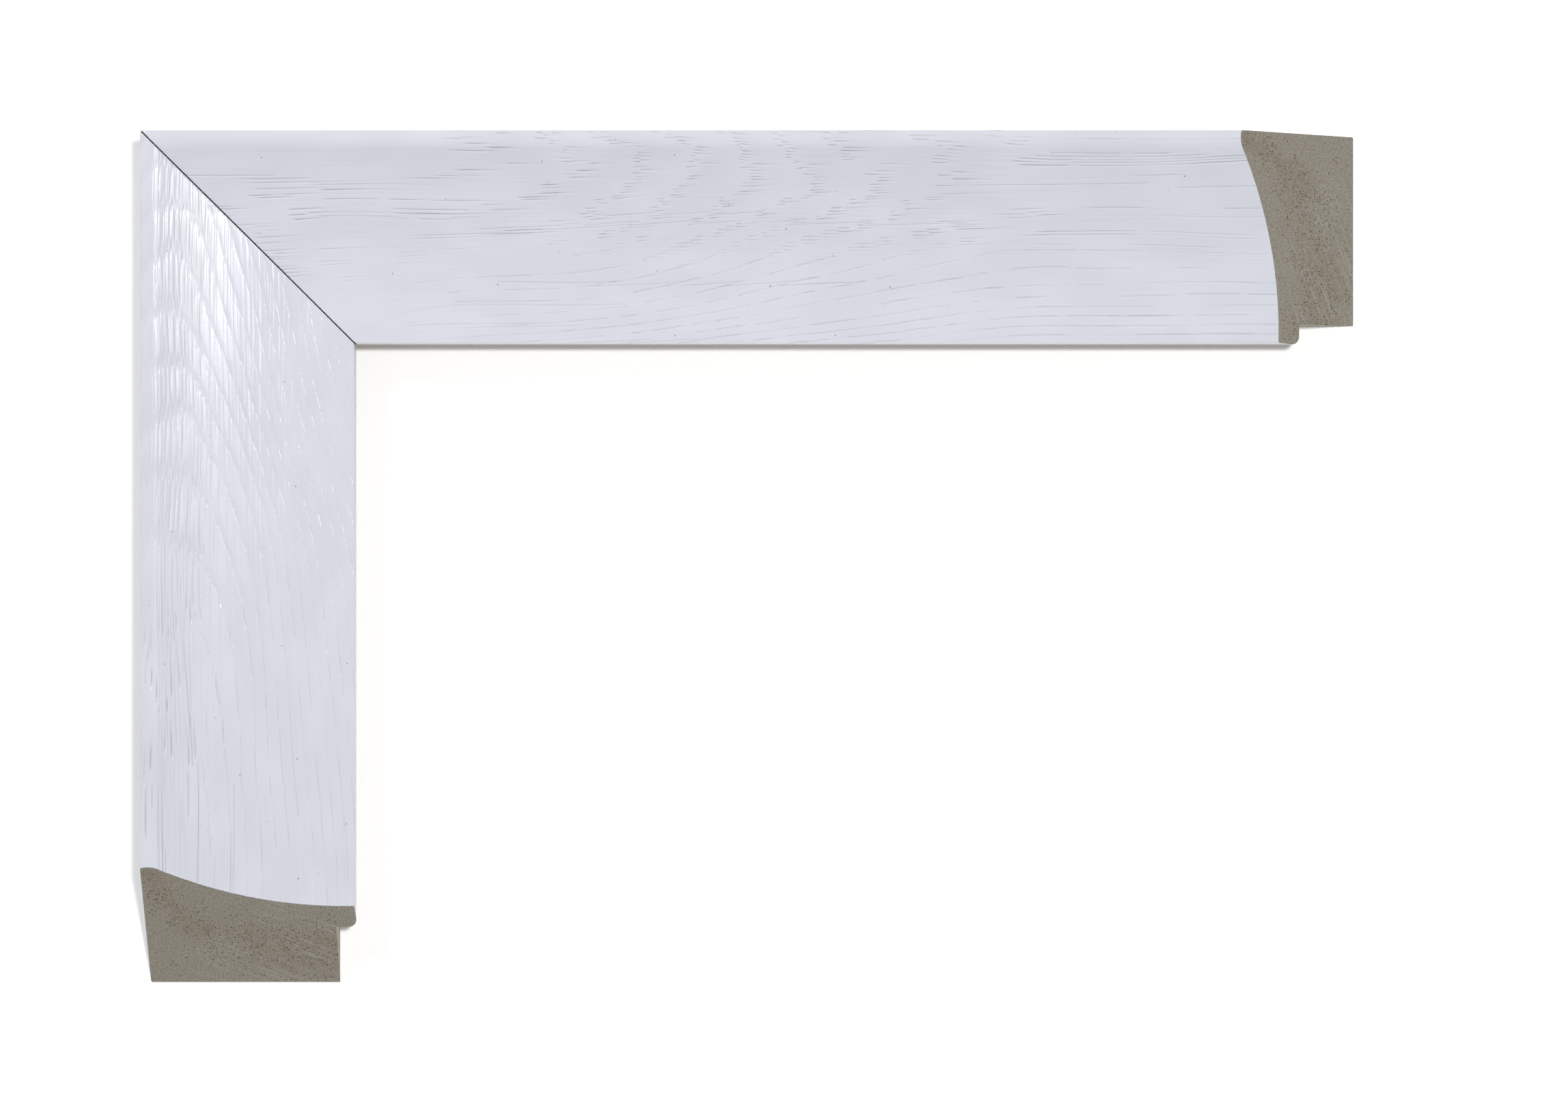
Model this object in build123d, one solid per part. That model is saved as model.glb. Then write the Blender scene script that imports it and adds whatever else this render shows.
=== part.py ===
"""A mitred corner of picture frame moulding, lying on its back with the face up.

Two lengths of one coved moulding meet at a glued mitre. Their far ends are sawn on a
bevel that leans outwards from face to back, so the section shows from the front.
"""

from build123d import *
from math import radians, sqrt, tan
import os

# Driving dimensions of the section, in millimetres
FACE_WIDTH = 63.5  # outer side to the sight edge, the edge nearest the picture
RABBET_WIDTH = 6.35  # how far the lip reaches over the picture
RABBET_DEPTH = 17.7  # back of the moulding to the seat of the rabbet
LIP_THICKNESS = 6.7  # rabbet seat to the face at the sight edge
CREST_RISE = 12.1  # how far the crest stands above the face at the sight edge
CREST_SETBACK = 2.3  # outer side to the highest line of the crest
CREST_RADIUS = 8.0  # roundness of the crest
SIGHT_FLAT = 3.5  # level margin between the cove and the sight edge
SIGHT_LEAN = 0.6  # how far the sight edge leans out towards its foot
LIP_ROUND = 2.4  # rounding of the lip's lower edge
ARRIS = 0.5  # easing of the outer arrises

# Driving dimensions of the corner, in millimetres and degrees
LONG_RAIL_LENGTH = 363.5  # outer corner to the cut end, along the back
SHORT_RAIL_LENGTH = 255.6  # outer corner to the cut end, along the back
MITRE_ANGLE = 45.0  # half of the frame's square corner
END_CUT_ANGLE = 45.0  # lean of the sawn ends, from square


def moulding_section():
    """Section of the stock: x runs from the outer side to the sight edge, y from the back up."""
    sight_height = RABBET_DEPTH + LIP_THICKNESS
    crest_height = sight_height + CREST_RISE
    cove_foot = Vector(FACE_WIDTH - SIGHT_LEAN - SIGHT_FLAT, sight_height)

    # The cove is an arc that leaves the level margin without a kink and touches the
    # crest's own arc from outside: the two centres lie the sum of the radii apart.
    cove_span = cove_foot.X - CREST_SETBACK
    centre_distance = (cove_span**2 + CREST_RISE**2) / (2 * CREST_RISE)
    cove_radius = centre_distance - CREST_RADIUS
    cove_centre = cove_foot + Vector(0, cove_radius)
    crest_centre = Vector(CREST_SETBACK, crest_height - CREST_RADIUS)
    crest_to_cove = (cove_centre - crest_centre).normalized()
    cove_head = crest_centre + crest_to_cove * CREST_RADIUS
    cove_middle = cove_centre + ((cove_head + cove_foot) / 2 - cove_centre).normalized() * cove_radius

    outer_top = Vector(0, crest_centre.Y + sqrt(CREST_RADIUS**2 - CREST_SETBACK**2))
    crest_top = Vector(CREST_SETBACK, crest_height)
    sight_top = Vector(FACE_WIDTH - SIGHT_LEAN, sight_height)
    sight_foot = Vector(FACE_WIDTH, RABBET_DEPTH)
    rabbet_corner = Vector(FACE_WIDTH - RABBET_WIDTH, RABBET_DEPTH)
    rabbet_back = Vector(FACE_WIDTH - RABBET_WIDTH, 0)
    outer_back = Vector(0, 0)

    with BuildSketch() as section:
        with BuildLine():
            Line(outer_back, outer_top)
            ThreePointArc(outer_top, crest_top, cove_head)
            ThreePointArc(cove_head, cove_middle, cove_foot)
            Polyline(cove_foot, sight_top, sight_foot, rabbet_corner, rabbet_back, outer_back)
        make_face()
        eased = [(outer_top, ARRIS), (outer_back, ARRIS), (sight_foot, LIP_ROUND)]
        for corner, radius in eased:
            fillet(section.vertices().sort_by_distance(corner)[0], radius)
    return section.sketch


def mitre_plane():
    """Upright plane of the mitre, through the outer corner, facing the long rail."""
    return Plane(origin=(0, 0, 0), z_dir=Vector(1, 0, 0).rotate(Axis.Z, 90 - MITRE_ANGLE))


def end_cut_plane(length):
    """Plane of the sawn end, facing the offcut: it meets the back at the rail's full length."""
    return Plane(origin=(length, 0, 0), z_dir=Vector(1, 0, 0).rotate(Axis.Y, -END_CUT_ANGLE))


def rail(length):
    """One length of moulding along +X from the outer corner, its outer side on y = 0, sawn at both ends."""
    overrun = FACE_WIDTH / tan(radians(MITRE_ANGLE))
    stock_end = Plane(origin=(length + overrun, 0, 0), x_dir=(0, -1, 0), z_dir=(-1, 0, 0))
    stock = extrude(stock_end * moulding_section(), amount=length + 2 * overrun)
    mitred = split(stock, bisect_by=mitre_plane(), keep=Keep.TOP)
    return split(mitred, bisect_by=end_cut_plane(length), keep=Keep.BOTTOM)


def corner():
    """Both rails by node name, with the origin under the middle of the whole corner."""
    to_middle = Pos(-LONG_RAIL_LENGTH / 2, SHORT_RAIL_LENGTH / 2, 0)
    return {
        "long_rail": to_middle * rail(LONG_RAIL_LENGTH),
        "short_rail": to_middle * mirror(rail(SHORT_RAIL_LENGTH), about=mitre_plane()),
    }


os.makedirs("parts", exist_ok=True)
for node, solid in corner().items():
    export_step(solid, f"parts/{node}.step")
    box = solid.bounding_box()
    print(node, "volume", round(solid.volume), "from", box.min, "to", box.max)
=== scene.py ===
# %% [markdown]
# # A corner of white-lacquered picture frame moulding
# Two lengths of one coved moulding meet at a mitre and lie on their backs. The face is
# open-grained wood under white lacquer, so every pore still shows as a fine groove. The far
# ends are sawn on a bevel and left bare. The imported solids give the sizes; this lesson
# models both lengths again with the grain carved into them, and gives them their finish.

# %% load the frame
from dataclasses import dataclass
from math import asin, atan2, cos, degrees, hypot, pi, radians, sin, tan
from typing import Callable

import bpy
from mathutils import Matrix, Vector


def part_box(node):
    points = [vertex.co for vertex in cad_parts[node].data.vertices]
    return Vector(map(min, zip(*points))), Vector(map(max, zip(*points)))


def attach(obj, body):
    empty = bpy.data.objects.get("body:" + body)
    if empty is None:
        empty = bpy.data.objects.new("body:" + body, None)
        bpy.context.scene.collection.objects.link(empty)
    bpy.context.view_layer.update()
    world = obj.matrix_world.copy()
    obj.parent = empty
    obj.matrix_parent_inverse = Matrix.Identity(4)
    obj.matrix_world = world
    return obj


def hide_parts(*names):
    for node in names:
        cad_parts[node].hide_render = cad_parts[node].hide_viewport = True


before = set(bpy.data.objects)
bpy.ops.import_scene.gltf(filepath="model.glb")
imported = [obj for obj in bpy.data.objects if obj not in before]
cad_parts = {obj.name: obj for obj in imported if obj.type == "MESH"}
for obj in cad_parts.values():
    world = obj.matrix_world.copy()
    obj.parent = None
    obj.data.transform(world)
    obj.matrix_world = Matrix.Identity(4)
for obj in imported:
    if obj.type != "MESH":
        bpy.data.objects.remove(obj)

MM = 0.001
UP = Vector((0, 0, 1))
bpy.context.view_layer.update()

# %% [markdown]
# ## Where the two rails lie
# Each rail is described by the way it runs: from the outer corner along the rail, and across
# its face from the outer side to the sight edge, which is the edge nearest the picture. With
# these two directions the same steps can model both rails, and nothing has to be turned later.
#
# The wood of each rail shows in its own way, so a rail also carries these shares:
# - pores and calm_pores say how open the pores stand in busy and in calm grain
# - limbs says how strong the lines down the limbs of the arches start, and limbs_grow between
#   which millimetres along the rail they grow to full strength
# - silk says how much the soft early wood shows, and the share after silk how dark the pores are painted:
#   painted shade in most places, real brown dirt in a few
# - seed moves the chance pattern, so that the rails aren't alike


# %% what a rail is
@dataclass
class Rail:
    node: str
    run_axis: str
    away: Vector
    across: Vector
    length: float
    rings: Callable
    pores: float
    calm_pores: float
    limbs: float
    limbs_grow: tuple
    silk: float
    dirt_and_shade: float
    seed: float

    @property
    def mitre(self):
        """The way the mitre's cut looks."""
        return (self.across - self.away).normalized()


long_low, long_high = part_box("long_rail")
short_low, short_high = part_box("short_rail")
corner = Vector((long_low.x, long_high.y, 0))
print("outer corner at", corner[:])

# %% [markdown]
# ## Growth rings
# Growth rings that a plank cuts at a shallow angle show as nested arches. One formula for each
# rail counts the rings that are crossed on the way along it, and the distance from the arches'
# middle line bends them round: more and more on the long rail, and into straight limbs with a
# round top on the short one. Each formula also says how fast rings are crossed sideways, which
# is fast on a limb, and how calm the grain is, from 0 to 1. A picture of wood would do for one
# view, but a formula can be carved as well as painted, and is sharp at every size.
#
# The formulas are given sockets, not numbers, so that nodes can work them out at every point.

# %% rings of the long rail
RING_START = 0.3
LONG_ARCHES_START = 75
LONG_ARCHES_RUN = 200
LONG_RING_COUNT = 8


def long_rings(along, across):
    """Rings crossed, how fast they are crossed sideways, and how calm the grain is."""
    share = ((along - LONG_ARCHES_START) / LONG_ARCHES_RUN).at_least(0).at_most(1)
    counted = share * share * (3 - 2 * share) * LONG_RING_COUNT - RING_START
    middle_line = along.ease(50, 150) * 12
    sharpness = along.ease(10, 140) * 0.0024 + 0.0015
    off_middle = across - middle_line
    bend = off_middle * sharpness
    calm = 1 - share * (1 - share) * 4
    return counted + off_middle * bend, bend * 2, calm


print("the long rail crosses", LONG_RING_COUNT, "rings")

# %% rings of the short rail
SHORT_RINGS_END = 240
SHORT_RING_SPREAD = 5700
SHORT_MIDDLE_LINE = 9
ROUND_TOP = 15.8
ROUND_TOP_SQUARED = 250
LIMB_PACE = 0.33


def short_rings(along, across):
    """The same for the short rail."""
    left = SHORT_RINGS_END - along
    counted = left * left / SHORT_RING_SPREAD - RING_START
    off_middle = across - SHORT_MIDDLE_LINE
    flat_top = along.ease(60, 140) * 7
    beyond_flat = (off_middle.size() - flat_top).at_least(0)
    slant = (beyond_flat * beyond_flat + ROUND_TOP_SQUARED).root()
    calm = along.ease(100, 190)
    return counted + (slant - ROUND_TOP) * LIMB_PACE, off_middle / slant * LIMB_PACE, calm


print("the short rail crosses about", round(SHORT_RINGS_END**2 / SHORT_RING_SPREAD), "rings")

# %% the two rails
RAILS = [
    Rail("long_rail", "X", away=Vector((1, 0, 0)), across=Vector((0, -1, 0)),
         length=long_high.x - long_low.x, rings=long_rings, pores=0.75, calm_pores=0.75,
         limbs=0.3, limbs_grow=(60, 160), silk=0.5, dirt_and_shade=1.0, seed=0.0),
    Rail("short_rail", "Y", away=Vector((0, -1, 0)), across=Vector((1, 0, 0)),
         length=short_high.y - short_low.y, rings=short_rings, pores=0.15, calm_pores=0.95,
         limbs=0.6, limbs_grow=(70, 170), silk=1.4, dirt_and_shade=0.3, seed=37.0),
]
print("lengths in mm", [round(rail.length / MM, 1) for rail in RAILS])

# %% [markdown]
# ## The section as a walk
# A moulding is a section drawn out to length, so its shape is one closed outline. It could be
# drawn as a curve, but here it is walked like a path: forward for a flat, round an arc for a
# curve, a sharp turn at a corner. Each length and turn follows from a few sizes. The cove and
# the crest are two arcs that touch without a kink.

# %% sizes of the section
FACE_WIDTH = 63.5 * MM
RABBET_WIDTH = 6.35 * MM
RABBET_DEPTH = 17.7 * MM
LIP_THICKNESS = 6.7 * MM
CREST_HEIGHT = long_high.z
CREST_SETBACK = 2.3 * MM
CREST_RADIUS = 8.0 * MM
SIGHT_FLAT = 3.5 * MM
SIGHT_LEAN = 0.6 * MM
LIP_ROUND = 2.4 * MM
ARRIS = 0.5 * MM

crest_rise = CREST_HEIGHT - RABBET_DEPTH - LIP_THICKNESS
cove_span = FACE_WIDTH - SIGHT_LEAN - SIGHT_FLAT - CREST_SETBACK
centre_distance = (cove_span**2 + crest_rise**2) / (2 * crest_rise)
cove_radius = centre_distance - CREST_RADIUS
cove_turn = asin(cove_span / centre_distance)

arris_reach = CREST_RADIUS - ARRIS
arris_lean = asin((CREST_SETBACK - ARRIS) / arris_reach)
side_height = CREST_HEIGHT - CREST_RADIUS + arris_reach * cos(arris_lean) - ARRIS
crest_turn = arris_lean + cove_turn

sight_slope = atan2(LIP_THICKNESS, SIGHT_LEAN)
lip_turn = pi - sight_slope
lip_trim = LIP_ROUND * tan(lip_turn / 2)
sight_length = hypot(LIP_THICKNESS, SIGHT_LEAN) - lip_trim
print("cove radius", round(cove_radius / MM, 1), "mm")
print("steepest slope", round(degrees(cove_turn), 1), "degrees")


# %% the pen that walks
class Pen:
    """Leaves a chain of mesh points behind as it walks in the plane of the section."""

    def __init__(self, start, across):
        self.place = start
        self.across = across
        self.axle = across.cross(UP)
        self.heading = pi / 2

    def direction(self, offset=0.0):
        angle = self.heading + offset
        return self.across * cos(angle) + UP * sin(angle)

    def forward(self, length, steps=1):
        for _ in range(steps):
            step = self.direction() * (length / steps)
            bpy.ops.mesh.extrude_region_move(TRANSFORM_OT_translate={"value": step})
        self.place = self.place + self.direction() * length

    def turn(self, angle):
        self.heading += angle

    def arc(self, radius, angle, steps):
        side = pi / 2 if angle > 0 else -pi / 2
        centre = self.place + self.direction(side) * radius
        # Spin counts its angle the other way round the axis
        bpy.ops.mesh.spin(steps=steps, angle=-angle, center=centre, axis=self.axle)
        self.turn(angle)
        self.place = centre - self.direction(side) * radius


# %% [markdown]
# ## Milling the stock
# The outline starts as a plane merged into one point. The face gets a point every fifth of a
# millimetre, because the pores are only about half a millimetre wide, and the hidden sides get
# few. The Screw modifier with no turn draws the outline out to length, a little longer than the
# rail at both ends, as stock is before it is sawn.

# %% walk the section
FACE_STEP = 0.22 * MM
SAW_WASTE = 2 * MM
crest_steps = round(CREST_RADIUS * crest_turn / FACE_STEP)
cove_steps = round(cove_radius * cove_turn / FACE_STEP)
print("the crest takes", crest_steps, "steps and the cove", cove_steps)


def walk_section(rail):
    """One closed outline of the moulding, at the start of the stock."""
    start = corner - rail.away * SAW_WASTE + UP * ARRIS
    bpy.ops.object.select_all(action="DESELECT")
    bpy.ops.mesh.primitive_plane_add(size=MM)
    bpy.ops.object.mode_set(mode="EDIT")
    bpy.ops.mesh.merge(type="CENTER")
    bpy.ops.transform.translate(value=start)
    pen = Pen(start, rail.across)
    pen.forward(side_height, steps=12)
    pen.arc(ARRIS, arris_lean - pi / 2, steps=4)
    pen.arc(CREST_RADIUS, -crest_turn, crest_steps)
    pen.arc(cove_radius, cove_turn, cove_steps)
    pen.forward(SIGHT_FLAT, steps=14)
    pen.turn(-sight_slope)
    pen.forward(sight_length, steps=8)
    pen.arc(LIP_ROUND, -lip_turn, steps=8)
    pen.forward(RABBET_WIDTH - lip_trim, steps=2)
    pen.turn(pi / 2)
    pen.forward(RABBET_DEPTH, steps=6)
    pen.turn(-pi / 2)
    pen.forward(FACE_WIDTH - RABBET_WIDTH - ARRIS, steps=8)
    pen.arc(ARRIS, -pi / 2, steps=3)
    bpy.ops.mesh.select_all(action="SELECT")
    bpy.ops.mesh.remove_doubles(threshold=FACE_STEP / 10)
    bpy.ops.object.mode_set(mode="OBJECT")
    return bpy.context.object


# %% draw out the stock
ROW_STEP = 1.25 * MM
SHARP_EDGE = radians(60)


def draw_out(stock, rail):
    run = rail.length + 2 * SAW_WASTE
    sweep = stock.modifiers.new("run of stock", "SCREW")
    sweep.axis = rail.run_axis
    sweep.angle = 0
    sweep.screw_offset = run * sum(rail.away)
    sweep.steps = round(run / ROW_STEP)
    sweep.render_steps = sweep.steps
    bpy.ops.object.modifier_apply(modifier=sweep.name)
    bpy.ops.object.mode_set(mode="EDIT")
    bpy.ops.mesh.select_all(action="SELECT")
    bpy.ops.mesh.normals_make_consistent(inside=False)
    bpy.ops.object.mode_set(mode="OBJECT")
    bpy.ops.object.shade_smooth_by_angle(angle=SHARP_EDGE)


stock_of = {}
for rail in RAILS:
    stock = walk_section(rail)
    stock.name = rail.node.replace("rail", "moulding")
    draw_out(stock, rail)
    stock_of[rail.node] = stock
    print(stock.name, "stock has", len(stock.data.polygons), "faces")

# %% [markdown]
# ## Sums with sockets
# The grain is needed twice: Geometry Nodes carve it into the mesh, and the lacquer's shader
# reads it for the painted shade and the dirt in the pores. Both kinds of tree have the same Math
# and texture nodes, so one recipe serves both. A small class lets the recipe be written as plain sums.


# %% a value on its way
class Wire:
    """A value on its way through a node tree. Sums written with it add Math nodes."""

    def __init__(self, bench, socket):
        self.bench = bench
        self.socket = socket

    def other(self, output):
        return Wire(self.bench, self.socket.node.outputs[output])

    def maths(self, operation, *values):
        return self.bench.node("ShaderNodeMath", {"operation": operation}, dict(enumerate(values)))

    def __add__(self, value):
        return self.maths("ADD", self, value)

    def __sub__(self, value):
        return self.maths("SUBTRACT", self, value)

    def __rsub__(self, value):
        return self.maths("SUBTRACT", value, self)

    def __mul__(self, value):
        return self.maths("MULTIPLY", self, value)

    def __truediv__(self, value):
        return self.maths("DIVIDE", self, value)

    def __rtruediv__(self, value):
        return self.maths("DIVIDE", value, self)

    def __lt__(self, value):
        return self.maths("LESS_THAN", self, value)

    def __gt__(self, value):
        return self.maths("GREATER_THAN", self, value)

    def at_least(self, value):
        return self.maths("MAXIMUM", self, value)

    def at_most(self, value):
        return self.maths("MINIMUM", self, value)

    def fraction(self):
        return self.maths("FRACT", self)

    def floor(self):
        return self.maths("FLOOR", self)

    def size(self):
        return self.maths("ABSOLUTE", self)

    def root(self):
        return self.maths("SQRT", self)

    def ease(self, low, high):
        """0 below low, 1 above high, with a smooth step between."""
        sockets = {"Value": self, "From Min": low, "From Max": high}
        return self.bench.node("ShaderNodeMapRange", {"interpolation_type": "SMOOTHSTEP"}, sockets)

    __radd__ = __add__
    __rmul__ = __mul__


# %% the node bench
class Bench:
    """Places nodes in a tree."""

    def __init__(self, tree):
        self.tree = tree

    def node(self, kind, settings=None, sockets=None, output=0):
        made = self.tree.nodes.new(kind)
        for name, value in (settings or {}).items():
            setattr(made, name, value)
        for name, value in (sockets or {}).items():
            self.feed(made.inputs[name], value)
        return Wire(self, made.outputs[output]) if made.outputs else made

    def feed(self, socket, value):
        if isinstance(value, Wire):
            self.tree.links.new(value.socket, socket)
        else:
            socket.default_value = value

    def point(self, x, y, z=0.0):
        return self.node("ShaderNodeCombineXYZ", None, {0: x, 1: y, 2: z})

    def split(self, vector):
        parts = self.node("ShaderNodeSeparateXYZ", None, {0: vector})
        return parts, parts.other(1), parts.other(2)

    def vectors(self, operation, first, second, output=0):
        return self.node("ShaderNodeVectorMath", {"operation": operation}, {0: first, 1: second}, output)

    def noise(self, x, y, size, shift=0.0, detail=0.0):
        """Soft patches of the given length and width."""
        place = self.point(x / size[0], y / size[1] + shift)
        sockets = {"Vector": place, "Scale": 1.0, "Detail": detail}
        return self.node("ShaderNodeTexNoise", {"noise_dimensions": "2D"}, sockets)

    def cells(self, x, y, size, shift=0.0):
        """How far the nearest of many scattered spots is, counted in sizes."""
        place = self.point(x / size + shift, y / size)
        sockets = {"Vector": place, "Scale": 1.0}
        return self.node("ShaderNodeTexVoronoi", {"voronoi_dimensions": "2D"}, sockets)

    def dice(self, x, y, z=0.0):
        """Three chances from 0 to 1, the same ones each time for the same numbers."""
        rolled = self.node("ShaderNodeTexWhiteNoise", None, {"Vector": self.point(x, y, z)}, "Color")
        return self.split(rolled)

    def mix(self, share, first, second):
        return self.node("ShaderNodeMix", {"data_type": "RGBA"}, {0: share, 6: first, 7: second}, 2)


# %% [markdown]
# ## Finding the way on a rail
# A node tree only knows where a point lies in the room. Two products with the rail's directions
# turn that into millimetres along and across the rail. The outer side stands upright, so all of
# it has the same distance across, and a pattern would smear down it in stripes. That side is
# therefore folded out flat beside the face.

# %% places on a rail
FOLD = (0.6, 2.0)


def rail_place(bench, rail, position):
    """Distances from the outer corner along and across the rail, in millimetres."""
    from_corner = bench.vectors("SUBTRACT", position, corner)
    along = bench.vectors("DOT_PRODUCT", from_corner, rail.away / MM, 1)
    across = bench.vectors("DOT_PRODUCT", from_corner, rail.across / MM, 1)
    return along, across


def face_place(bench, rail, position):
    """The same, with the outer side folded out flat beside the face."""
    along, across = rail_place(bench, rail, position)
    below = ((side_height + ARRIS) / MM - bench.split(position)[2] / MM).at_least(0)
    return along, across - below * (1 - across.ease(*FOLD))


# %% [markdown]
# ## The figure of the wood
# The ring formulas alone would look drawn with compasses. On the real face the grain strays a
# little to the side on its way along the rail, and the rings sway. Where rings are crossed fast
# sideways, a place lies on the limb of an arch.
#
# The soft wood of each year shows as a band. Its edge is combed, because fine hairlines along
# the grain carry it further in some places than in others.

# %% read the grain
STRAY_SIZE = (70, 22)
STRAYING = 3.0
SWAY_SIZE = (40, 12)
SWAY = 0.7
LIMB_TILT = (0.14, 0.24)


@dataclass
class Grain:
    along: Wire
    across: Wire
    age: Wire
    sway: Wire
    tilt: Wire
    calm: Wire
    limb: Wire


def read_grain(bench, rail, position):
    """How the wood grew at a position. Its age is counted in rings."""
    along, across = face_place(bench, rail, position)
    across = across + (bench.noise(along, across, STRAY_SIZE, rail.seed) - 0.5) * STRAYING
    counted, tilt, calm = rail.rings(along, across)
    limb = tilt.size().ease(*LIMB_TILT)
    sway = bench.noise(along, across, SWAY_SIZE, -rail.seed) - 0.5
    sway = sway * (SWAY - limb * (SWAY / 2))
    return Grain(along, across, counted + sway, sway, tilt, calm, limb)


# %% early wood and hairlines
HAIR_SIZE = (45, 0.8)
COMBING = 0.22
EARLY_RISE = 0.3
EARLY_FALL = 0.7


def early_wood(bench, rail, grain):
    """The soft band of each ring, and the hairlines that comb its edge."""
    hairs = bench.noise(grain.along, grain.across, HAIR_SIZE, rail.seed, detail=1).ease(0.4, 0.8)
    combed = (grain.age + hairs * COMBING).fraction()
    band = combed.ease(0, EARLY_RISE) * (1 - combed).ease(0, EARLY_FALL)
    return band * (1 - grain.limb * 0.75), hairs


# %% [markdown]
# ## Pores
# In ring-porous wood the big pores stand in the first part of each year's growth, so they mark
# every ring. Cut lengthwise, a pore is a short groove along the grain. The face is ruled into
# narrow lanes with a groove down each. A groove starts where its lane crosses into a new year
# and fades out after a chance length, which makes the comb-like arches of the real face. In calm
# grain the starts are scattered more, and a few stray grooves fill the quiet places.

# %% lanes
LANE = 0.95
LANE_PLAY = 0.4
LEAN_PER_TILT = 25
LONGEST_LEAN = 1.3
print("the face has", round(FACE_WIDTH / MM / LANE), "lanes")


@dataclass
class Lane:
    number: Wire
    middle: Wire
    off_middle: Wire
    shift: Wire
    width: Wire


def find_lane(bench, rail, grain):
    """The lane that a place lies in. Lanes draw together a little along each pore."""
    lean = (grain.tilt * LEAN_PER_TILT).at_least(-LONGEST_LEAN).at_most(LONGEST_LEAN)
    leaned = grain.across + lean * grain.age.fraction()
    number = (leaned / LANE).floor()
    aside, shift, width = bench.dice(number, rail.seed)
    middle = (number + 0.5 + (aside - 0.5) * LANE_PLAY) * LANE
    return Lane(number, middle, (leaned - middle).size(), shift, width)


# %% grooves of the pores
LONGEST_GROOVE = 55.0
GROOVE_START = 0.07
STRAY_CHANCE = 0.025
STRAY_DEPTH = 0.6


def pore_grooves(bench, rail, grain, lane, blur):
    """How deep a pore's groove is at a place, from 0 to about 1."""
    scatter = grain.calm * 0.65 + 0.25
    lane_age = rail.rings(grain.along, lane.middle)[0] + grain.sway + (lane.shift - 0.5) * scatter
    year = lane_age.floor()
    part = lane_age - year
    reach, chance, depth = bench.dice(lane.number, year, rail.seed)
    length = reach * 0.3 + 0.25
    groove = part.ease(0, GROOVE_START) * (1 - part / length).ease(0, 0.8)
    groove = groove * (chance < 0.8 - grain.calm * 0.15) * (1 - grain.limb)

    stretch = grain.along / LONGEST_GROOVE + lane.shift
    cell = stretch.floor()
    within = stretch - cell
    stray_chance, _, _ = bench.dice(lane.number, cell, rail.seed + 1)
    stray = (stray_chance > 1 - STRAY_CHANCE) * STRAY_DEPTH
    ends = (within * (1 - within)).ease(0, 0.05)
    half_width = LANE * (lane.width * 0.1 + 0.2) + blur
    walls = (1 - lane.off_middle / half_width).ease(0, 0.9)
    openness = grain.calm * (rail.calm_pores - rail.pores) + rail.pores
    return groove.at_least(stray) * ends * (depth * 0.5 + 0.5) * walls * openness


# %% [markdown]
# ## Lines down the limbs
# Down the limbs of an arch the rings lie almost along the grain. There the pores of a ring run
# together, and its edge is one thin line with small steps. The line is drawn where the age
# passes a whole number, in pieces that are each moved a little by chance.

# %% limb lines
LINE_PIECE = 19.0
LINE_SHIFT = 3
LINE_STEP = 0.1
LINE_HALF_WIDTH = 0.2
THINNEST_LINE = 0.003
LINE_GAP_CHANCE = 0.3


def limb_lines(bench, rail, grain, lane, blur):
    """How deep a limb's line is at a place, from 0 to 1."""
    stretch = grain.along / LINE_PIECE + lane.shift * LINE_SHIFT
    chance, step, depth = bench.dice(lane.number, stretch.floor(), rail.seed + 2)
    within = stretch.fraction()
    ends = (within * (1 - within)).ease(0, 0.12)
    edge = ((grain.age + (step - 0.5) * LINE_STEP + 0.5).fraction() - 0.5).size()
    half_width = grain.tilt.size() * (LINE_HALF_WIDTH + blur) + THINNEST_LINE
    line = (1 - edge / half_width).ease(0, 0.9) * grain.limb * ends
    line = line * (chance > LINE_GAP_CHANCE) * (depth * 0.7 + 0.3)
    return line * (grain.along.ease(*rail.limbs_grow) * (1 - rail.limbs) + rail.limbs)


def open_grain(bench, rail, position, blur):
    """Grooves, limb lines, early wood and hairlines at a position. Blur widens the first two."""
    grain = read_grain(bench, rail, position)
    early, hairs = early_wood(bench, rail, grain)
    lane = find_lane(bench, rail, grain)
    grooves = pore_grooves(bench, rail, grain, lane, blur)
    lines = limb_lines(bench, rail, grain, lane, blur)
    return grooves, lines, early * rail.silk, hairs * rail.silk


# %% [markdown]
# ## Carving the face
# The grooves are real relief, so they catch the light from every side and are part of the mesh.
# Geometry Nodes push each point of the face inwards along its normal. Only what faces up is
# carved; the sides and the back keep their points. The grooves are blurred a little for the
# mesh, because its points are too far apart for the sharpest ones.

# %% carve the pores
GROOVE_DEPTH = 0.16 * MM
LINE_DEPTH = 0.08 * MM
EARLY_DEPTH = 0.035 * MM
HAIR_DEPTH = 0.01 * MM
MESH_BLUR = 0.15
FACES_UP = (0.6, 0.85)


def take_up(stock):
    """Selects one piece alone."""
    bpy.ops.object.select_all(action="DESELECT")
    stock.select_set(True)
    bpy.context.view_layer.objects.active = stock


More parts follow.
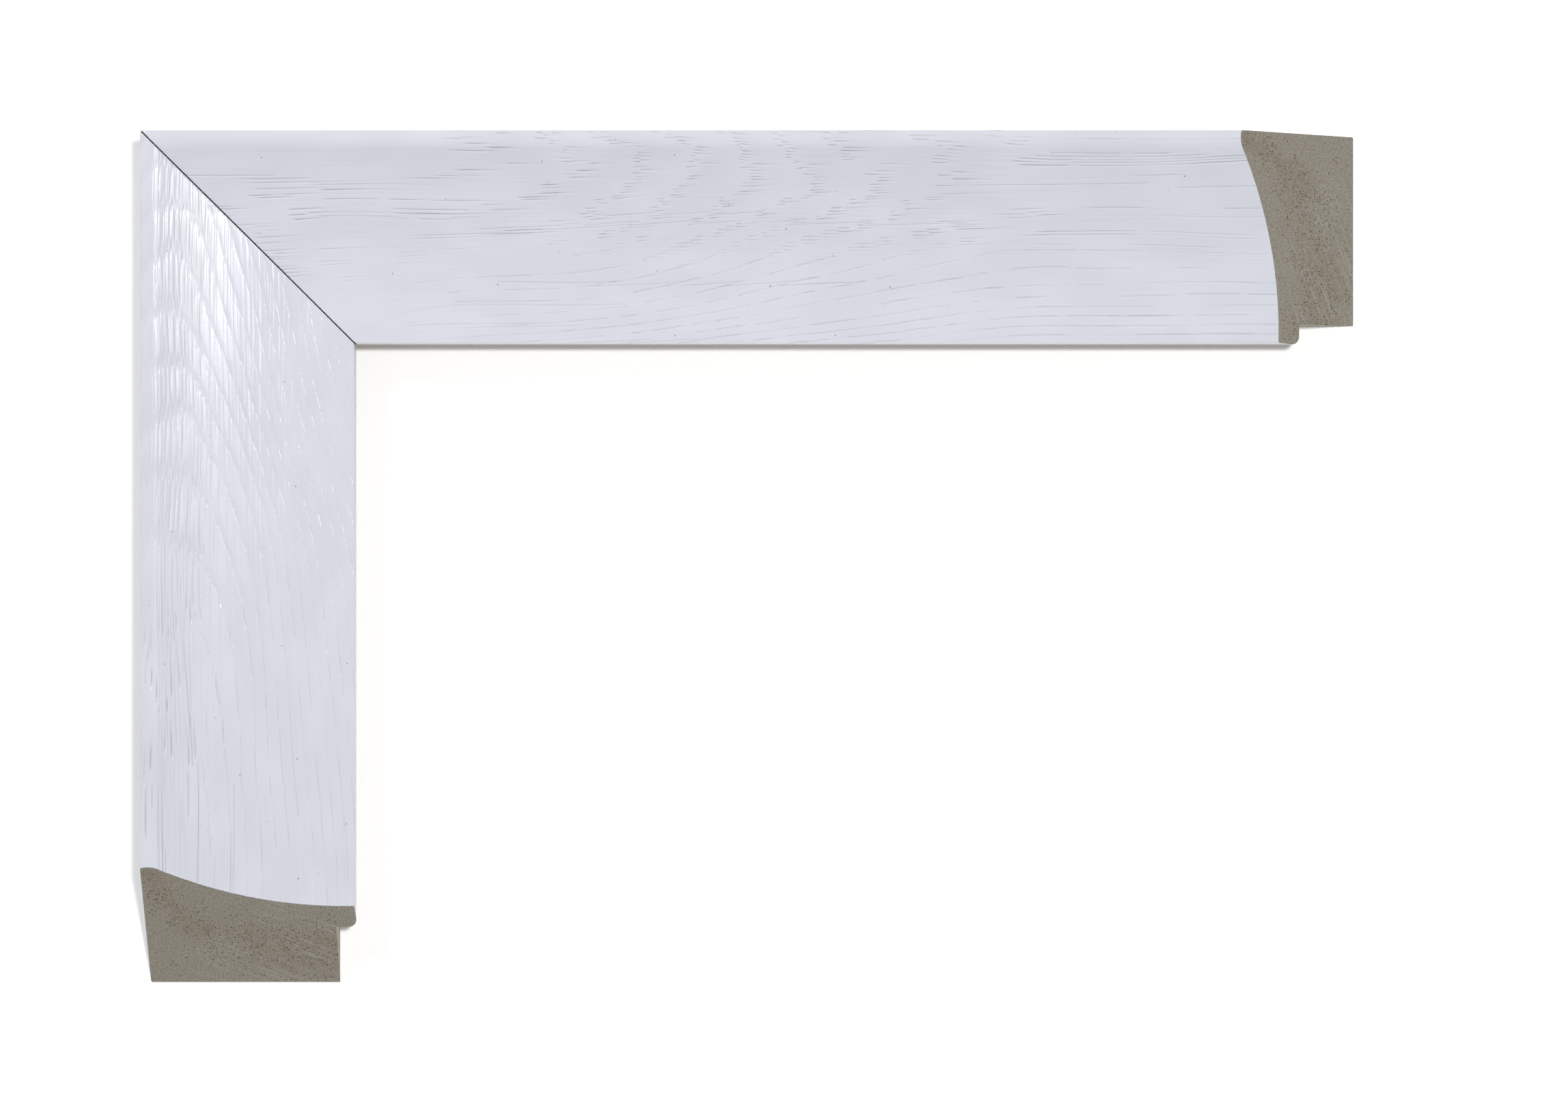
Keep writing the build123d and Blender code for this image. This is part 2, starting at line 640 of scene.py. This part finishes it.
def carve(stock, rail):
    tree = bpy.data.node_groups.new("open_grain_" + rail.node, "GeometryNodeTree")
    for way in ("INPUT", "OUTPUT"):
        tree.interface.new_socket("Geometry", in_out=way, socket_type="NodeSocketGeometry")
    bench = Bench(tree)
    mesh = bench.node("NodeGroupInput")
    position = bench.node("GeometryNodeInputPosition")
    normal = bench.node("GeometryNodeInputNormal")
    grooves, lines, early, hairs = open_grain(bench, rail, position, MESH_BLUR)
    depth = grooves * GROOVE_DEPTH + lines * LINE_DEPTH
    depth = depth + (rail.silk - early) * EARLY_DEPTH + hairs * HAIR_DEPTH
    depth = depth * bench.split(normal)[2].ease(*FACES_UP)
    push = bench.node("ShaderNodeVectorMath", {"operation": "SCALE"}, {0: normal, "Scale": depth * -1})
    carved = bench.node("GeometryNodeSetPosition", None, {"Geometry": mesh, "Offset": push})
    bench.node("NodeGroupOutput", None, {"Geometry": carved})
    carver = stock.modifiers.new("open grain", "NODES")
    carver.node_group = tree
    take_up(stock)
    bpy.ops.object.modifier_apply(modifier=carver.name)


for rail in RAILS:
    carve(stock_of[rail.node], rail)
    print("carved", rail.node)

# %% [markdown]
# ## Sawing the rails
# The lacquered stock is sawn last, so the cuts run through lacquer and pores and show bare wood.
# Bisect is the saw: it keeps one side and fills the cut. The mitre halves the square corner,
# and the far end leans out from face to back. A cut just short of the mitre only parts
# the faces and leaves a narrow strip; the mitre's own face is then drawn in a little, so that
# the joint shows as a fine groove.

# %% saw the mitre and the end
JOINT_WIDTH = 0.2 * MM
JOINT_DRAW_IN = 0.985


def saw(plane_point, plane_normal, cut_off):
    bpy.ops.mesh.select_all(action="SELECT")
    bpy.ops.mesh.bisect(plane_co=plane_point, plane_no=plane_normal, use_fill=cut_off, clear_outer=cut_off)
    if cut_off:
        bpy.ops.mesh.mark_sharp()


def cut_to_length(stock, rail):
    take_up(stock)
    bpy.ops.object.mode_set(mode="EDIT")
    saw(corner - rail.mitre * JOINT_WIDTH, rail.mitre, cut_off=False)
    saw(corner, rail.mitre, cut_off=True)
    middle = corner + (rail.away + rail.across) * FACE_WIDTH / 2 + UP * RABBET_DEPTH
    bpy.ops.transform.resize(value=(JOINT_DRAW_IN,) * 3, center_override=middle)
    saw(corner + rail.away * rail.length, rail.away + UP, cut_off=True)
    bpy.ops.object.mode_set(mode="OBJECT")


for rail in RAILS:
    stock = stock_of[rail.node]
    cut_to_length(stock, rail)
    triangles = sum(len(face.vertices) - 2 for face in stock.data.polygons)
    print(stock.name, "has", triangles, "triangles")

# %% [markdown]
# ## Helpers for finishes
# Every finish starts from Blender's Principled shader, called skin here. A finish reads the
# piece's own Object coordinates, so the pattern stays on the wood wherever the camera stands.


# %% start a finish
def shade(name):
    """A new material, the bench of its nodes and its shader."""
    material = bpy.data.materials.new(name)
    material.use_nodes = True
    skin = material.node_tree.nodes["Principled BSDF"]
    return material, Bench(material.node_tree), skin


def own_place(bench):
    return bench.node("ShaderNodeTexCoord").other("Object")


def raise_relief(bench, skin, height):
    """Fine relief that is too small for the mesh. The height is in millimetres."""
    bump = bench.node("ShaderNodeBump", None, {"Strength": 1.0, "Distance": MM, "Height": height})
    bench.feed(skin.inputs["Normal"], bump)


def plain_finish(name, colour, roughness):
    material, _, skin = shade(name)
    skin.inputs["Base Color"].default_value = colour
    skin.inputs["Roughness"].default_value = roughness
    return material, skin


# %% [markdown]
# ## White lacquer
# The lacquer is white with a slight lavender tone, a little cloudy, and glossy enough to streak
# near the corner. The pores are painted darker: grey painted shade in most places, real brown
# dirt in a few. The early-wood bands get a little painted shade as well. Here and there a dark
# speck of grit is caught in the coat. The bump sharpens the grooves that the mesh already has,
# and adds the faint peel of sprayed lacquer.

# %% lacquer
LACQUER_SHADE = (0.575, 0.59, 0.645, 1)
LACQUER_LIGHT = (0.595, 0.612, 0.67, 1)
# grey painted shade for the pores' grooves; the brown below is real dirt
PORE_SHADE_GREY = (0.36, 0.35, 0.36, 1)
DIRT_BROWN = (0.33, 0.22, 0.13, 1)
# painted shade for the early-wood bands
EARLY_PAINTED_SHADE = (0.40, 0.41, 0.45, 1)
GRIT_DARK = (0.12, 0.10, 0.09, 1)
CLOUD_SIZE = (25, 12)
STAIN_SIZE = (14, 4)
GRIT_SPACING = 17
GRIT_CHANCE = 0.4
PEEL_SIZE = (1.5, 0.9)
PEEL_HEIGHT = 0.006
GROOVE_BUMP = 0.18
LINE_BUMP = 0.09
EARLY_BUMP = 0.03
HAIR_BUMP = 0.018
LACQUER_ROUGHNESS = 0.2
EARLY_DULLING = 0.05


def lacquer_tone(bench, rail, along, across, pore_share, early):
    """The lacquer's colour, with painted shade in the pores and the early wood and real brown dirt in a
    few pores. The two shares say how much of a place is pore and early wood.
    """
    cloud = bench.noise(along, across, CLOUD_SIZE, rail.seed, detail=1)
    tone = bench.mix(cloud.ease(0.35, 0.7), LACQUER_SHADE, LACQUER_LIGHT)
    stain = bench.noise(along, across, STAIN_SIZE, rail.seed + 2).ease(0.62, 0.78)
    # the pores' colour: grey painted shade, turning to real brown dirt where the stain lies; the next line
    # paints the pores darker with it
    dirt_and_shade = bench.mix(stain, PORE_SHADE_GREY, DIRT_BROWN)
    tone = bench.mix(pore_share * (stain * 0.3 + 0.2) * rail.dirt_and_shade, tone, dirt_and_shade)
    # painted shade on the early-wood bands
    tone = bench.mix(early * 0.11, tone, EARLY_PAINTED_SHADE)
    grit = bench.cells(along, across, GRIT_SPACING)
    chance, size, _ = bench.split(grit.other("Color"))
    specks = (size * 0.009 + 0.009 - grit).ease(0, 0.004) * (chance < GRIT_CHANCE)
    return bench.mix(specks * 0.7, tone, GRIT_DARK)


def lacquer(rail):
    material, bench, skin = shade("white_lacquer_" + rail.node)
    position = own_place(bench)
    along, across = face_place(bench, rail, position)
    grooves, lines, early, hairs = open_grain(bench, rail, position, blur=0.0)
    tone = lacquer_tone(bench, rail, along, across, grooves.at_least(lines * 0.5), early)
    bench.feed(skin.inputs["Base Color"], tone)
    bench.feed(skin.inputs["Roughness"], early * EARLY_DULLING + LACQUER_ROUGHNESS)
    peel = bench.noise(along, across, PEEL_SIZE, rail.seed + 5)
    height = peel * PEEL_HEIGHT - grooves * GROOVE_BUMP - lines * LINE_BUMP
    raise_relief(bench, skin, height + early * EARLY_BUMP - hairs * HAIR_BUMP)
    print("mixed", material.name)
    return material


# %% [markdown]
# ## The sawn end
# The end grain is grey-brown bare wood. Cut across, the pores are small dark holes with a brown
# halo. They crowd in a wide band that falls from the crest and then runs on above the back.
# Voronoi cells scatter them: each cell is one pore, and its chance colour says whether it is
# there and how big it is. In the lower half, towards the rabbet, the saw has left pale lines,
# and some dust lies on the wood. A texture of dots would do from afar, but not this close.

# %% pores of the sawn end
BAND_LOW = 10
BAND_RISE = 26
BAND_TURN = 9
BAND_WANDER = 12
WANDER_SIZE = (9, 9)
BAND_WIDTH = 13
PATCH_SIZE = (4, 4)
PORE_SPACING = 0.8
SPECK_SPACING = 0.45


def end_pores(bench, rail, across, height):
    """How the pores crowd at a place, and its share of hole, halo and small speck."""
    off_band = height - BAND_LOW - BAND_RISE / (across * across / BAND_TURN**2 + 1)
    wander = bench.noise(across, height, WANDER_SIZE, rail.seed, detail=2) - 0.5
    off_band = off_band + wander * BAND_WANDER
    patchy = bench.noise(across, height, PATCH_SIZE, 3, detail=1).ease(0.25, 0.6)
    crowd = (1 - off_band.size() / BAND_WIDTH).ease(0, 1) * (patchy * 0.7 + 0.3)

    big = bench.cells(across, height, PORE_SPACING)
    chance, size, _ = bench.split(big.other("Color"))
    here = chance < crowd * 0.75 + 0.05
    holes = (size * size * 0.15 + 0.08 - big).ease(0, 0.08) * here
    halo = (size * 0.25 + 0.3 - big).ease(0, 0.3) * here

    small = bench.cells(across, height, SPECK_SPACING, 9)
    chance, size, _ = bench.split(small.other("Color"))
    specks = (size * 0.2 + 0.16 - small).ease(0, 0.15) * (chance < crowd * 0.7 + 0.12)
    return crowd, holes, halo, specks


# %% marks of the saw
SCRATCH_SIZE = (0.55, 25)
DUST_MIDDLE = (22, 10)
DUST_REACH = (15, 9)
DUST_SIZE = (0.7, 0.7)


def saw_marks(bench, across, height):
    """Slanted saw lines, and a patch of dust."""
    slant = across * 0.36 + height * 0.93
    scratch = bench.noise(slant, height - across, SCRATCH_SIZE, 8, detail=1).ease(0.56, 0.68)
    scratch = scratch * (across - height).ease(5, 25)
    beside = (across - DUST_MIDDLE[0]) / DUST_REACH[0]
    above = (height - DUST_MIDDLE[1]) / DUST_REACH[1]
    from_dust = bench.point(beside, above)
    away = bench.node("ShaderNodeVectorMath", {"operation": "LENGTH"}, {0: from_dust}, 1)
    grains = bench.noise(across, height, DUST_SIZE, 4, detail=2).ease(0.45, 0.7)
    return scratch, (1 - away).ease(0, 0.9) * grains


# %% finish of the sawn end
FIBRE_SIZE = (0.6, 0.6)
END_SHADE = (0.245, 0.222, 0.182, 1)
END_LIGHT = (0.315, 0.29, 0.245, 1)
CROWD_BROWN = (0.23, 0.195, 0.14, 1)
SCRATCH_PALE = (0.42, 0.40, 0.355, 1)
HALO_BROWN = (0.17, 0.125, 0.065, 1)
SPECK_BROWN = (0.13, 0.095, 0.05, 1)
DUST_PALE = (0.46, 0.45, 0.42, 1)
HOLE_DARK = (0.04, 0.028, 0.015, 1)
FIBRE_HEIGHT = 0.05
HOLE_DEPTH = 0.15
SPECK_DEPTH = 0.06
SCRATCH_HEIGHT = 0.03


def bare_end(rail):
    material, bench, skin = shade("sawn_end_" + rail.node)
    position = own_place(bench)
    _, across = rail_place(bench, rail, position)
    height = bench.split(position)[2] / MM
    crowd, holes, halo, specks = end_pores(bench, rail, across, height)
    scratch, dust = saw_marks(bench, across, height)
    fibre = bench.noise(across, height, FIBRE_SIZE, 1, detail=2)
    tone = bench.mix(fibre.ease(0.3, 0.7), END_SHADE, END_LIGHT)
    tone = bench.mix(crowd * 0.25, tone, CROWD_BROWN)
    tone = bench.mix(scratch * 0.35, tone, SCRATCH_PALE)
    tone = bench.mix(halo * 0.5, tone, HALO_BROWN)
    tone = bench.mix(specks * 0.5, tone, SPECK_BROWN)
    tone = bench.mix(dust * 0.45, tone, DUST_PALE)
    tone = bench.mix(holes * 0.9, tone, HOLE_DARK)
    bench.feed(skin.inputs["Base Color"], tone)
    skin.inputs["Roughness"].default_value = 0.85
    skin.inputs["Specular IOR Level"].default_value = 0.2
    relief = fibre * FIBRE_HEIGHT - holes * HOLE_DEPTH - specks * SPECK_DEPTH
    raise_relief(bench, skin, relief + scratch * SCRATCH_HEIGHT)
    print("mixed", material.name)
    return material


# %% [markdown]
# ## The bare back
# The back and the rabbet are never seen once a picture hangs, so makers leave them bare. They
# show long grain with faint rings, and a little overspray of lacquer.

# %% finish of the back
BACK_FIBRE_SIZE = (18, 0.6)
BACK_RING_SIZE = (90, 12)
BACK_RING_WIDTH = 5
SPRAY_SIZE = (12, 9)
BACK_SHADE = (0.36, 0.31, 0.23, 1)
BACK_LIGHT = (0.46, 0.41, 0.32, 1)
BACK_RING = (0.27, 0.22, 0.15, 1)
OVERSPRAY = (0.58, 0.59, 0.62, 1)
BACK_FIBRE_HEIGHT = 0.08


def bare_back(rail):
    material, bench, skin = shade("bare_back_" + rail.node)
    position = own_place(bench)
    along, across = rail_place(bench, rail, position)
    round_back = across + bench.split(position)[2] / MM
    fibre = bench.noise(along, round_back, BACK_FIBRE_SIZE, rail.seed, detail=2)
    tone = bench.mix(fibre.ease(0.3, 0.7), BACK_SHADE, BACK_LIGHT)
    drift = bench.noise(along, round_back, BACK_RING_SIZE, rail.seed, detail=1) * 3
    rings = (round_back / BACK_RING_WIDTH + drift).fraction()
    tone = bench.mix(rings.ease(0.6, 1.0) * 0.3, tone, BACK_RING)
    spray = bench.noise(along, round_back, SPRAY_SIZE, rail.seed, detail=2).ease(0.55, 0.8)
    tone = bench.mix(spray * 0.35, tone, OVERSPRAY)
    bench.feed(skin.inputs["Base Color"], tone)
    skin.inputs["Roughness"].default_value = 0.8
    raise_relief(bench, skin, fibre * BACK_FIBRE_HEIGHT)
    print("mixed", material.name)
    return material


# %% [markdown]
# ## Which face takes which finish
# The mitre's narrow strip gets a near-black joint line, which is painted shadow of the hairline
# gap as well as the dark of the joint itself, and the cuts get end grain. What looks down or into
# the rabbet, below the lip, is bare back. All other faces are lacquered. The choice goes by where
# a face lies and looks, because the saw and the walk leave no other mark on it.

# %% give the finishes
LACQUER, CUT, BACK, JOINT = range(4)
# near-black strip at the mitre: painted shadow of the hairline gap and the dark of the joint itself
JOINT_DARK_AND_SHADOW = (0.02, 0.02, 0.022, 1)
joint_line, _ = plain_finish("joint_line", JOINT_DARK_AND_SHADOW, roughness=0.9)


def finish_of(face, rail):
    """Which finish a face takes, by where it lies and where it looks."""
    in_joint = abs((face.center - corner).dot(rail.mitre)) < JOINT_WIDTH
    if in_joint:
        on_mitre = abs(face.normal.dot(rail.mitre)) > 0.99
        return CUT if on_mitre else JOINT
    if face.normal.dot(rail.away) > 0.6:
        return CUT
    behind = face.normal.z < -0.9 or face.normal.dot(rail.across) > 0.9
    if behind and face.center.z < RABBET_DEPTH + ARRIS:
        return BACK
    return LACQUER


for rail in RAILS:
    stock = stock_of[rail.node]
    for material in (lacquer(rail), bare_end(rail), bare_back(rail), joint_line):
        stock.data.materials.append(material)
    for face in stock.data.polygons:
        face.material_index = finish_of(face, rail)
    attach(stock, "root")
    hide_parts(rail.node)
    print(stock.name, "has", len(stock.data.materials), "finishes")

# %% [markdown]
# ## Floor
# The corner lies on plain white. A big sheet of matt paper gives that: it has no sheen, and it
# glows a little, so that it stays white where the light thins out.

# %% floor
FLOOR_SIZE = 8.0
FLOOR_WHITE = (0.95, 0.95, 0.95, 1)
FLOOR_GLOW = 0.11
bpy.ops.object.select_all(action="DESELECT")
bpy.ops.mesh.primitive_plane_add(size=FLOOR_SIZE, location=(0, 0, 0))
floor = bpy.context.object
floor.name = "floor"
paper, skin = plain_finish("white_floor", FLOOR_WHITE, roughness=0.9)
skin.inputs["Specular IOR Level"].default_value = 0
skin.inputs["Emission Color"].default_value = (1, 1, 1, 1)
skin.inputs["Emission Strength"].default_value = FLOOR_GLOW
floor.data.materials.append(paper)
print("floor is", FLOOR_SIZE, "m wide")


# %% [markdown]
# ## Light
# Three softboxes and a pale surround stand in for a studio. The one overhead gives most of the
# light. It is left out of reflections, or the lacquer would mirror it. The key stands behind the
# outer corner, so that it shades the cove and the grooves. The streak only makes gloss: it lays
# the bright streaks on the short rail near the corner.

# %% softboxes
def softbox(name, place, target, size, watts):
    bpy.ops.object.light_add(type="AREA", location=place)
    light = bpy.context.object
    light.name = name
    light.data.shape = "RECTANGLE"
    light.data.size, light.data.size_y = size
    light.data.energy = watts
    light.rotation_euler = (Vector(target) - Vector(place)).to_track_quat("-Z", "Y").to_euler()
    print(name, "has", watts, "W")
    return light


overhead = softbox("overhead", place=(0.27, 0.2, 2.6), target=(0, 0, 0), size=(0.16, 0.16), watts=47)
overhead.visible_glossy = False
softbox("key", place=(-0.85, 0.95, 1.45), target=(0, 0, 0), size=(0.4, 0.4), watts=13)
streak = softbox("streak", place=(1.0, 0.31, 2.0), target=(-0.16, 0.1, 0.03), size=(0.12, 0.4), watts=9)
streak.visible_diffuse = False

# %% surround
SURROUND = 0.25
world = bpy.data.worlds.new("studio")
bpy.context.scene.world = world
world.use_nodes = True
sky = world.node_tree.nodes["Background"]
sky.inputs["Color"].default_value = (1, 1, 1, 1)
sky.inputs["Strength"].default_value = SURROUND
print("surround has strength", SURROUND)

# %% [markdown]
# ## Camera
# The photo looks straight down. Its focal length is counted in the photo's pixels, and the lens
# follows from that and from the width of the sensor. A camera that isn't turned looks down, so
# only its place has to be found.

# %% camera
IMAGE_WIDTH = 2296
FOCAL_PIXELS = 9860
SENSOR_WIDTH = 36
CAMERA_HEIGHT = 2.0
camera_place = Vector((9.6 * MM, 3.4 * MM, CREST_HEIGHT + CAMERA_HEIGHT))
bpy.ops.object.camera_add(location=camera_place, rotation=(0, 0, 0))
camera = bpy.context.object
camera.data.sensor_width = SENSOR_WIDTH
camera.data.lens = FOCAL_PIXELS / IMAGE_WIDTH * SENSOR_WIDTH
bpy.context.scene.camera = camera
bpy.context.scene.view_settings.view_transform = "Standard"
print("lens of", round(camera.data.lens, 1), "mm")
